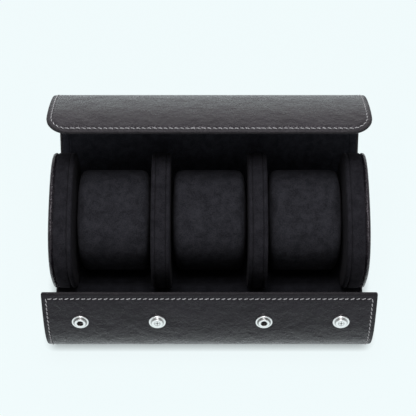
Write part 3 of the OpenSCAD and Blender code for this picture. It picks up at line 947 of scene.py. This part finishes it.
@dataclass
class Wall:
    """An upright wall of the tray: a suede band round its edge with a pad or a leather cap on each face."""

    section: Section
    name: str
    middle: float
    core_w: float

    RING = 288
    BAND_PROFILE = (
        (-0.5, -0.76), (-0.49, -0.66), (-0.47, -0.42), (-0.435, -0.2), (-0.38, -0.04), (-0.28, 0.04), (-0.14, 0.07),
        (0.0, 0.08), (0.14, 0.07), (0.28, 0.04), (0.38, -0.04), (0.435, -0.2), (0.47, -0.42), (0.49, -0.66),
        (0.5, -0.76),
    )
    PAD_PROFILE = (
        (0.75, 0.0), (0.5, 0.06), (0.25, 0.13), (0.07, 0.22), (0.0, 0.34), (0.04, 0.52), (0.2, 0.7), (0.55, 0.85),
        (1.1, 0.95), (2.0, 1.0), (3.6, 1.01), (6.0, 0.99), (12.0, 0.96),
    )
    CAP_PROFILE = (
        (0.75, 0.0), (0.72, 0.1), (0.45, 0.17), (0.14, 0.27), (0.0, 0.41), (0.03, 0.56), (0.2, 0.74), (0.6, 0.88),
        (1.3, 0.97), (2.4, 1.0), (5.0, 1.01), (12.0, 1.0),
    )

    def ring(self, inset: float) -> np.ndarray:
        """The section's outline drawn in by inset, without its repeated last point."""
        return self.section.points(np.arange(self.RING) * 360 / self.RING, np.full(self.RING, -inset))

    def band(self, material: bpy.types.Material) -> bpy.types.Object:
        """The suede band: its profile (share of the width, height) carried round the section."""
        rings = [self.ring(-height) for _, height in self.BAND_PROFILE]
        offsets = [self.middle + share * self.core_w for share, _ in self.BAND_PROFILE]
        points = np.concatenate([self.section.row(np.full(self.RING, x), ring) for x, ring in zip(offsets, rings)])
        numbers = np.arange(len(points)).reshape(len(rings), self.RING)
        closed = np.concatenate([numbers, numbers[:, :1]], axis=1)
        closed = np.concatenate([closed, closed[:1]], axis=0)
        parts = MeshParts(points, grid_quads(closed), points, np.zeros(len(points)))
        piece = make_piece(self.name + "_suede_band", parts, material)
        return self.settle(piece, self.name + "_band")

    def swelling(
        self,
        name: str,
        face: float,
        side: float,
        thickness: float,
        profile: Sequence[tuple[float, float]],
        pucker: float,
        material: bpy.types.Material,
    ) -> bpy.types.Object:
        """A pad or cap that swells from a face of the wall.

        Rings follow the section's outline, drawn in by the profile's inset, and
        shrink to the middle inside the last of them. The height over the face is
        the profile's share of the thickness. Near the seam it puckers: a wave
        round the ring that fades inwards.

        Args:
            name: The CAD node that it stands for.
            face: Where the wall's face is.
            side: 1 or -1, the way that it swells.
            thickness: Its height.
            profile: (inset, share of the thickness) of each ring.
            pucker: Height of the puckers at the seam.
            material: Its finish.

        Returns:
            The object, riding on the tray.
        """
        rng = np.random.default_rng(SEED + len(name))
        turn = np.arange(self.RING) * 2 * math.pi / self.RING
        wave = sum(
            np.sin(turn * count + rng.uniform(0, 2 * math.pi)) * weight
            for count, weight in ((31, 0.5), (47, 0.35), (71, 0.25))
        )
        rows = []
        for inset, share in profile:
            height = thickness * share + pucker * wave * math.exp(-(((inset - 2.0) / 1.3) ** 2))
            rows.append(self.section.row(face + side * height, self.ring(inset)))
        innermost = self.ring(profile[-1][0])
        top = profile[-1][1]
        for shrink in (0.8, 0.6, 0.4, 0.2, 0.06):
            rows.append(self.section.row(np.full(self.RING, face + side * thickness * top), innermost * shrink))
        base = [self.section.row(np.full(self.RING, face), self.ring(profile[0][0]) * shrink) for shrink in (0.06, 0.5, 0.999)]
        rows = [*base, *rows]
        points = np.concatenate(rows)
        numbers = np.arange(len(points)).reshape(len(rows), self.RING)
        closed = np.concatenate([numbers, numbers[:, :1]], axis=1)
        faces = grid_quads(closed) + [numbers[0].tolist(), numbers[-1, ::-1].tolist()]
        piece = make_piece(name + "_skin", MeshParts(points, faces, points, np.zeros(len(points))), material)
        return self.settle(piece, name)

    @staticmethod
    def settle(piece: bpy.types.Object, node: str) -> bpy.types.Object:
        """Puts a piece on the tray in the place of a CAD node."""
        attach(piece, "tray")
        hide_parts(node)
        return piece


@dataclass
class Tray:
    """The walls of the three compartments."""

    section: Section
    compartment_w: float = 53.8
    divider_core_w: float = 7.3
    divider_pad_t: float = 3.0
    end_core_w: float = 9.2
    end_pad_t: float = 3.4
    end_cap_t: float = 3.4

    @property
    def divider_w(self) -> float:
        """Width of a divider with its two pads."""
        return self.divider_core_w + 2 * self.divider_pad_t

    @property
    def compartment_pitch(self) -> float:
        """Distance from one compartment's middle to the next."""
        return self.compartment_w + self.divider_w

    def build(self, finishes: Finishes) -> list[bpy.types.Object]:
        """Builds both dividers and both end walls."""
        made = []
        for side, label in ((-1, "left"), (1, "right")):
            made += self.divider(side, label, finishes)
            made += self.end_wall(side, label, finishes)
        return made

    def divider(self, side: int, label: str, finishes: Finishes) -> list[bpy.types.Object]:
        """A divider: a band and a pad on each face."""
        middle = side * self.compartment_pitch / 2
        wall = Wall(self.section, label + "_divider", middle, self.divider_core_w)
        made = [wall.band(finishes.suede)]
        for face, which in ((side, "outer"), (-side, "inner")):
            made.append(
                wall.swelling(
                    f"{label}_divider_{which}_pad",
                    middle + face * self.divider_core_w / 2,
                    face,
                    self.divider_pad_t,
                    wall.PAD_PROFILE,
                    0.06,
                    finishes.suede,
                )
            )
        return made

    def end_wall(self, side: int, label: str, finishes: Finishes) -> list[bpy.types.Object]:
        """An end wall: a band, a pad inside and a domed leather cap outside."""
        pad_face = 1.5 * self.compartment_w + self.divider_w + self.end_pad_t
        middle = side * (pad_face + self.end_core_w / 2)
        wall = Wall(self.section, label + "_end", middle, self.end_core_w)
        pad = wall.swelling(
            label + "_end_pad", side * pad_face, -side, self.end_pad_t, wall.PAD_PROFILE, 0.06, finishes.suede
        )
        cap = wall.swelling(
            label + "_end_cap",
            side * (pad_face + self.end_core_w),
            side,
            self.end_cap_t,
            wall.CAP_PROFILE,
            0.02,
            finishes.cap_leather,
        )
        return [wall.band(finishes.suede), pad, cap]


@dataclass
class Cushion:
    """A suede cushion over foam: a rounded block that air pressure swells until it fills its room."""

    section: Section
    label: str
    middle: float
    width: float = 53.0
    height: float = 68.6
    depth: float = 65.2
    rise: float = 3.2
    seat: float = -7.65
    ring_power: float = 2.8
    crown_power: float = 12.0
    start_share: float = 0.94
    voxel: float = 2.0
    pressure: float = 4.0
    last_frame: int = 20
    reach: float = 4.0
    around: int = 96
    along: int = 48

    def form(self, share: float) -> tuple[np.ndarray, list[list[int]]]:
        """The cushion's room drawn in to a share of itself.

        A superellipse ring swells and shrinks along x. With slant v, turn u and
        m = (|sin v|^c + |cos v|^c)^(1/c), x = w/2 sin v / m, the ring's size is
        cos v / m, and q and p follow u.

        Args:
            share: Size of the form, as a share of the room.

        Returns:
            Points in the tray's plane as (x, q, p), and faces.
        """
        turn = np.arange(self.around) * 2 * math.pi / self.around
        slant = np.linspace(-math.pi / 2, math.pi / 2, self.along + 1)[1:-1]
        power = self.crown_power
        reach = (np.abs(np.sin(slant)) ** power + np.cos(slant) ** power) ** (1 / power)
        swell = np.cos(slant) / reach
        x = self.width / 2 * np.sin(slant) / reach
        q = self.height / 2 * signed_power(np.cos(turn), 2 / self.ring_power)
        p = self.depth / 2 * signed_power(np.sin(turn), 2 / self.ring_power)
        grid = np.stack(
            [np.broadcast_to(x[:, None], (len(x), self.around)), swell[:, None] * q[None], swell[:, None] * p[None]], axis=-1
        )
        points = share * grid.reshape(-1, 3)
        numbers = np.arange(len(points)).reshape(len(x), self.around)
        closed = np.concatenate([numbers, numbers[:, :1]], axis=1)
        return points, grid_quads(closed) + [numbers[0].tolist(), numbers[-1, ::-1].tolist()]

    def stand(self, local: np.ndarray) -> np.ndarray:
        """Points (x, q, p) about the cushion's middle, on the open case."""
        centred = local[:, 1:] + np.array([self.rise, self.seat])
        return self.section.row(local[:, 0] + self.middle, centred)

    def local(self, points: np.ndarray) -> np.ndarray:
        """The reverse of stand()."""
        plane = self.section.unleaned(points[:, 1:]) - np.array([self.rise, self.seat])
        return np.column_stack([points[:, 0] - self.middle, plane])

    def held(self, local: np.ndarray) -> np.ndarray:
        """Draws points that left the room back to its surface.

        A point is in the room where |x / (w/2)|^c + |ring|^c is at most 1, with
        ring the superellipse measure of (q, p).
        """
        scaled = np.abs(local) / (np.array([self.width, self.height, self.depth]) / 2)
        ring = (scaled[:, 1] ** self.ring_power + scaled[:, 2] ** self.ring_power) ** (1 / self.ring_power)
        measure = (scaled[:, 0] ** self.crown_power + ring**self.crown_power) ** (1 / self.crown_power)
        return local / np.maximum(measure, 1.0)[:, None]

    def build(self, finishes: Finishes) -> bpy.types.Object:
        """Builds the cushion and puts it in the place of its cover."""
        points, faces = self.form(self.start_share)
        stood = self.stand(points)
        name = self.label + "_cushion_pillow"
        piece = make_piece(name, MeshParts(stood, faces, stood, np.zeros(len(stood))), finishes.cushion_suede)
        self.inflate(piece)
        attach(piece, self.label + "_cushion")
        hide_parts(self.label + "_cushion_cover")
        return piece

    @staticmethod
    def move(piece: bpy.types.Object, points: np.ndarray) -> None:
        """Moves a mesh's vertices to points in millimetres."""
        piece.data.vertices.foreach_set("co", (points * MM).astype(np.float32).ravel())
        piece.data.update()

    @staticmethod
    def read(mesh: bpy.types.Mesh) -> np.ndarray:
        """A mesh's vertices in millimetres."""
        flat = np.zeros(len(mesh.vertices) * 3, np.float32)
        mesh.vertices.foreach_get("co", flat)
        return flat.reshape(-1, 3).astype(float) / MM

    def inflate(self, piece: bpy.types.Object) -> None:
        """Remeshes the cover, swells it as cloth under pressure, and holds it in its room."""
        remesh = piece.modifiers.new("even", "REMESH")
        remesh.mode = "VOXEL"
        remesh.voxel_size = self.voxel * MM
        self.bake_modifiers(piece)
        before = self.read(piece.data)
        cloth = piece.modifiers.new("cloth", "CLOTH")
        cloth.settings.use_pressure = True
        cloth.settings.uniform_pressure_force = self.pressure
        cloth.settings.quality = 6
        cloth.settings.mass = 0.3
        cloth.settings.tension_stiffness = 12
        cloth.settings.compression_stiffness = 8
        cloth.settings.bending_stiffness = 0.3
        cloth.settings.effector_weights.gravity = 0.0
        cloth.point_cache.frame_start = 1
        cloth.point_cache.frame_end = self.last_frame
        scene = bpy.context.scene
        for number in range(1, self.last_frame + 1):
            scene.frame_set(number)
        self.bake_modifiers(piece)
        scene.frame_set(1)
        after = self.read(piece.data)
        step = after - before
        far = np.linalg.norm(step, axis=1, keepdims=True)
        step *= np.minimum(1.0, self.reach / np.maximum(far, 1e-6))
        swollen = self.local(before + step)
        room = np.array([self.width, self.height, self.depth])
        swollen *= room / np.ptp(swollen, axis=0)
        self.move(piece, self.stand(self.held(swollen)))
        smooth = piece.modifiers.new("round", "SUBSURF")
        smooth.levels = 1
        smooth.render_levels = 1
        piece.data.shade_smooth()

    @staticmethod
    def bake_modifiers(piece: bpy.types.Object) -> None:
        """Replaces a piece's mesh with the result of its modifiers."""
        seen = piece.evaluated_get(bpy.context.evaluated_depsgraph_get())
        mesh = bpy.data.meshes.new_from_object(seen)
        piece.modifiers.clear()
        piece.data = mesh


class StudKind(Enum):
    """The two kinds of stud: pierced through its middle, or crimped shut."""

    OPEN = "open"
    CRIMPED = "crimped"


@dataclass(frozen=True)
class Stud:
    """A snap's stud, turned from a profile: a flange with a rolled rim, a dish, and a waisted nub.

    A profile point is (radius, height over the leather, weight of the painted shade in its crevices).
    """

    kind: StudKind
    around: int = 96
    petals: int = 4
    petal_height: float = 0.14
    petal_radius: float = 2.0

    RIM = (
        (3.9, -0.4, 0.0), (5.45, -0.4, 0.0), (5.6, -0.25, 0.0), (5.6, 0.55, 0.0), (5.56, 0.76, 0.0), (5.42, 0.92, 0.0),
        (5.2, 0.99, 0.0), (4.95, 1.0, 0.0), (4.72, 0.97, 0.0),
    )
    OPEN_DISH = ((4.58, 0.86, 0.2), (4.5, 0.65, 0.5), (4.3, 0.52, 0.6), (4.0, 0.5, 0.7), (3.7, 0.55, 0.9))
    CRIMPED_DISH = ((4.58, 0.9, 0.0), (4.48, 0.8, 0.3), (4.25, 0.75, 0.4), (3.95, 0.76, 0.5), (3.6, 0.8, 0.7))
    NUB = (
        (3.47, 0.95, 0.4), (3.46, 1.35, 0.0), (3.58, 1.6, 0.0), (3.68, 1.78, 0.0), (3.69, 1.95, 0.0), (3.6, 2.1, 0.0),
        (3.42, 2.19, 0.0), (3.2, 2.2, 0.0), (2.8, 2.16, 0.0), (2.45, 2.12, 0.0),
    )
    MOUTH = (
        (2.3, 2.08, 0.1), (2.15, 2.0, 0.7), (2.06, 1.85, 1.0), (2.0, 1.5, 1.0), (2.0, 0.8, 1.0), (2.0, -0.4, 1.0),
    )
    CROWN = (
        (2.2, 2.1, 0.1), (2.05, 2.04, 0.5), (1.9, 2.02, 0.5), (1.7, 2.07, 0.1), (1.3, 2.12, 0.0), (0.9, 2.1, 0.0),
        (0.6, 2.05, 0.2), (0.4, 1.98, 0.8), (0.38, 1.6, 1.0), (0.38, -0.4, 1.0),
    )

    def profile(self) -> np.ndarray:
        """The profile of this kind of stud."""
        if self.kind is StudKind.OPEN:
            return np.array([*self.RIM, *self.OPEN_DISH, *self.NUB, *self.MOUTH])
        return np.array([*self.RIM, *self.CRIMPED_DISH, *self.NUB, *self.CROWN])

    def mesh(self) -> tuple[np.ndarray, list[list[int]], np.ndarray]:
        """Turns the profile about its axis.

        A crimped crown is pinched into petals: its height falls by
        h |cos(n u / 2)|^6 at the turn u, fading out at the crown's edge.

        Returns:
            Points (across, along, up) in the stud's own frame, faces, and weights of the painted shade in the crevices.
        """
        profile = self.profile()
        turn = np.arange(self.around) * 2 * math.pi / self.around
        radius, height = (np.broadcast_to(profile[:, i : i + 1], (len(profile), self.around)) for i in (0, 1))
        crevice = np.repeat(profile[:, 2:], self.around, axis=1)
        if self.kind is StudKind.CRIMPED:
            pinch = np.abs(np.cos(self.petals * turn / 2)) ** 6 * ease(1.4 - radius / self.petal_radius)
            pinch = pinch * (height > self.CROWN[-2][1])
            height = height - self.petal_height * pinch
            # Painted shade in the creases between the crimped petals.
            crevice = np.maximum(crevice, 0.75 * pinch)
        points = np.stack([radius * np.cos(turn), radius * np.sin(turn), height], axis=-1).reshape(-1, 3)
        numbers = np.arange(len(points)).reshape(len(profile), self.around)
        closed = np.concatenate([numbers, numbers[:, :1]], axis=1)
        faces = grid_quads(np.concatenate([closed, closed[:1]], axis=0))
        return points, faces, crevice.ravel()


@dataclass
class Snaps:
    """The chrome snaps: studs on the lower flap, sockets under the upper flap."""

    section: Section
    fold: Fold
    plain_nodes: tuple[str, ...] = ("snap_sockets", "snap_socket_springs", "snap_socket_washers", "snap_stud_eyelets")

    def build(self, finishes: Finishes) -> list[bpy.types.Object]:
        """Gives each hidden snap part its chrome, and turns the studs."""
        for node in self.plain_nodes:
            dress(node, finishes.chrome)
        return [
            self.studs(StudKind.OPEN, (SNAP_SHIFT_X - SNAP_OUTER_X, SNAP_SHIFT_X + SNAP_INNER_X), finishes.chrome),
            self.studs(StudKind.CRIMPED, (SNAP_SHIFT_X - SNAP_INNER_X, SNAP_SHIFT_X + SNAP_OUTER_X), finishes.chrome),
        ]

    def studs(self, kind: StudKind, places: Sequence[float], material: bpy.types.Material) -> bpy.types.Object:
        """The studs of one kind, on the open flap.

        Args:
            kind: The kind of stud.
            places: Where each one stands along x.
            material: Its finish.

        Returns:
            One object that holds them all.
        """
        local, faces, crevice = Stud(kind).mesh()
        here = np.array([SNAP_PLACE])
        foot = self.section.points(here, np.array([FLAP_GAP + WRAP_T]))[0]
        up = foot - self.section.points(here)[0]
        up /= np.linalg.norm(up)
        along = np.array([-up[1], up[0]])
        plane = foot + local[:, 1:2] * along + local[:, 2:] * up
        standing = [self.section.row(x + local[:, 0], plane) for x in places]
        points = self.fold.opened(np.concatenate(standing), np.ones(len(local) * len(places), bool))
        all_faces = [[n + i * len(local) for n in face] for i in range(len(places)) for face in faces]
        # The studs' painted-shade weights, carried in the inset attribute.
        crevices = np.tile(crevice, len(places))
        piece = make_piece(f"snap_studs_{kind.value}_turned", MeshParts(points, all_faces, points, crevices), material)
        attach(piece, self.fold.body)
        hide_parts("snap_studs_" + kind.value)
        return piece


def dress(node: str, material: bpy.types.Material) -> None:
    """Gives a CAD node its finish."""
    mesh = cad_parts[node].data
    mesh.materials.clear()
    mesh.materials.append(material)


@dataclass
class Studio:
    """A pale floor, soft lights and the camera of the photograph."""

    paper: tuple[float, float, float] = (0.877, 0.963, 0.973)
    world_strength: float = 0.2
    front_gloss: float = 0.4
    back_gloss: float = 1.0
    paper_matte: float = 0.85
    paper_shadow: float = 0.05
    paper_glow: float = 0.968
    # contact_reach and contact_power shape the painted contact shadow on the floor.
    contact_reach: float = 8.0
    contact_power: float = 1.0
    floor_size: float = 6000.0
    camera_place: tuple[float, float, float] = (0.0, -644.98, 735.56)
    camera_elevation: float = 45.885
    focal_length: float = 115.51
    shift_x: float = -0.0031

    def build(self) -> None:
        """Sets the stage."""
        scene = bpy.context.scene
        scene.view_settings.view_transform = "Standard"
        self.sky()
        self.floor()
        self.lamp("key", (-40.0, -300.0, 1150.0), (0.0, 0.0, 40.0), 500.0, 6.5)
        self.lamp("front", (0.0, -1150.0, 520.0), (0.0, 0.0, 60.0), 700.0, 1.4)
        self.lamp("rim", (0.0, 900.0, 900.0), (0.0, 0.0, 80.0), 1200.0, 1.5)
        self.camera()

    def sky(self) -> None:
        """An even pale world. In reflections it is brighter towards the back, as a lit backdrop is."""
        world = bpy.data.worlds.new("studio_sky")
        world.use_nodes = True
        nodes, links = world.node_tree.nodes, world.node_tree.links
        background = nodes["Background"]
        background.inputs["Color"].default_value = (0.96, 0.96, 0.97, 1.0)
        rays, place = nodes.new("ShaderNodeLightPath"), nodes.new("ShaderNodeTexCoord")
        split, gloss = nodes.new("ShaderNodeSeparateXYZ"), nodes.new("ShaderNodeMapRange")
        links.new(place.outputs["Generated"], split.inputs[0])
        links.new(split.outputs["Y"], gloss.inputs["Value"])
        for name, value in (("From Min", -0.5), ("From Max", 0.5), ("To Min", self.front_gloss), ("To Max", self.back_gloss)):
            gloss.inputs[name].default_value = value
        strength = nodes.new("ShaderNodeMix")
        links.new(rays.outputs["Is Glossy Ray"], strength.inputs["Factor"])
        strength.inputs["A"].default_value = self.world_strength
        links.new(gloss.outputs["Result"], strength.inputs["B"])
        links.new(strength.outputs["Result"], background.inputs["Strength"])
        bpy.context.scene.world = world

    def floor(self) -> None:
        """The floor: matte paper, which for the camera and in reflections mostly glows and keeps a light shadow. For
        the camera, ambient occlusion also paints a contact shadow into its glow.
        """
        half = self.floor_size / 2
        mesh = bpy.data.meshes.new("studio_floor")
        corners = np.array([[-half, -half, 0], [half, -half, 0], [half, half, 0], [-half, half, 0]]) * MM
        mesh.from_pydata(corners.tolist(), [], [[0, 1, 2, 3]])
        sheet = NodeSheet("studio_paper")
        links = sheet.tree.links
        sheet.tree.nodes.remove(sheet.shader)
        rays = sheet.add("LightPath")
        seen = sheet.math("MAXIMUM", rays.outputs["Is Camera Ray"], rays.outputs["Is Glossy Ray"])
        seen = sheet.math("MAXIMUM", seen, rays.outputs["Is Transmission Ray"])
        # Painted shadow: for camera rays the paper's glow is dimmed by ambient occlusion near the case, a contact
        # shadow that no lamp casts.
        near = sheet.add("AmbientOcclusion", {"Distance": self.contact_reach * MM}, samples=16)
        dimmed = sheet.math("POWER", near.outputs["AO"], self.contact_power)
        contact = sheet.add("Mix", {"Factor": rays.outputs["Is Camera Ray"], "A": 1.0, "B": dimmed})
        strength = sheet.math("MULTIPLY", contact.outputs["Result"], self.paper_glow)
        glow = sheet.add("Emission", {"Color": (*self.paper, 1.0), "Strength": strength})
        shadow_color = [channel * self.paper_shadow for channel in self.paper]
        shadow = sheet.add("BsdfDiffuse", {"Color": (*shadow_color, 1.0)})
        shown = sheet.add("AddShader", {0: glow.outputs[0], 1: shadow.outputs[0]})
        matte = sheet.add("BsdfDiffuse", {"Color": (self.paper_matte, self.paper_matte, self.paper_matte, 1.0)})
        paper = sheet.add("MixShader", {0: seen, 1: matte.outputs[0], 2: shown.outputs[0]})
        links.new(paper.outputs[0], sheet.surface.inputs["Surface"])
        mesh.materials.append(sheet.material)
        floor = bpy.data.objects.new("studio_floor", mesh)
        bpy.context.scene.collection.objects.link(floor)

    def lamp(
        self, name: str, place: tuple[float, float, float], target: tuple[float, float, float], size: float, power: float
    ) -> None:
        """An area lamp that faces a target."""
        data = bpy.data.lights.new(name, "AREA")
        data.size = size * MM
        data.energy = power
        lamp = bpy.data.objects.new(name, data)
        start, goal = np.array(place) * MM, np.array(target) * MM
        ahead = goal - start
        flat = math.hypot(ahead[0], ahead[1])
        lamp.location = start
        lamp.rotation_euler = (math.atan2(flat, -ahead[2]), 0.0, math.atan2(ahead[1], ahead[0]) - math.pi / 2)
        bpy.context.scene.collection.objects.link(lamp)

    def camera(self) -> None:
        """The camera: in front, above, and level with the roll."""
        data = bpy.data.cameras.new("camera")
        data.lens = self.focal_length
        data.sensor_width = 36.0
        data.shift_x = self.shift_x
        camera = bpy.data.objects.new("camera", data)
        camera.location = np.array(self.camera_place) * MM
        camera.rotation_euler = (math.radians(90 - self.camera_elevation), 0.0, 0.0)
        bpy.context.scene.collection.objects.link(camera)
        bpy.context.scene.camera = camera


def wrap_halves(section: Section) -> tuple[UpperHalf, LowerHalf]:
    """The two halves of the leather wrap."""
    upper = UpperHalf(
        name="upper",
        section=section,
        fold=Fold("upper_flap", (59.731, 40.4102), -46.5, (57.75, 34.2), (60.55, 46.6)),
        fold_place=-31.2,
        edge_place=130.2,
        base_places=(-90.0, -52.0),
        lift_end_place=68.3,
        edge_lift=4.0,
        corner=14.5,
        side_stitch_inset=3.3,
        front_stitch_inset=3.3,
    )
    dense = np.linspace(200, 270, 2801)
    heights = turned(section.points(dense, np.full(len(dense), WRAP_T)), section.tilt)[:, 1]
    lower = LowerHalf(
        name="lower",
        section=section,
        fold=Fold("lower_flap", (-17.5935, 5.74936), 60.5135, (-12.65, 4.2), (-22.45, 6.0)),
        fold_place=214.2,
        edge_place=74.3,
        base_places=(270.0, float(dense[np.argmin(heights)])),
        lift_end_place=0.0,
        edge_lift=0.0,
        corner=1.2,
        side_stitch_inset=3.2,
        front_stitch_inset=4.2,
    )
    return upper, lower


def main() -> None:
    """Builds the looks of the case, piece by piece."""
    logging.basicConfig(level=logging.INFO, format="%(name)s: %(message)s")
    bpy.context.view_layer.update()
    finishes = Finishes()
    section = Section()
    upper, lower = wrap_halves(section)
    back = upper.build(finishes)
    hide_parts("upper_flap_leather", "base_leather")
    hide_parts("upper_flap_lining", "base_lining")
    front = lower.build(finishes)
    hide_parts("lower_flap_leather")
    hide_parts("lower_flap_lining")
    tray = Tray(section)
    made = back + front + tray.build(finishes)
    for place, label in ((-1, "left"), (0, "center"), (1, "right")):
        made.append(Cushion(section, label, place * tray.compartment_pitch).build(finishes))
        dress(label + "_cushion_core", finishes.foam)
    made += Snaps(section, lower.fold).build(finishes)
    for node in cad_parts:
        if node.endswith("_board"):
            dress(node, finishes.board)
    Studio().build()
    for piece in made:
        LOG.info("%s: %d points", piece.name, len(piece.data.vertices))


if __name__ == "__main__":
    main()
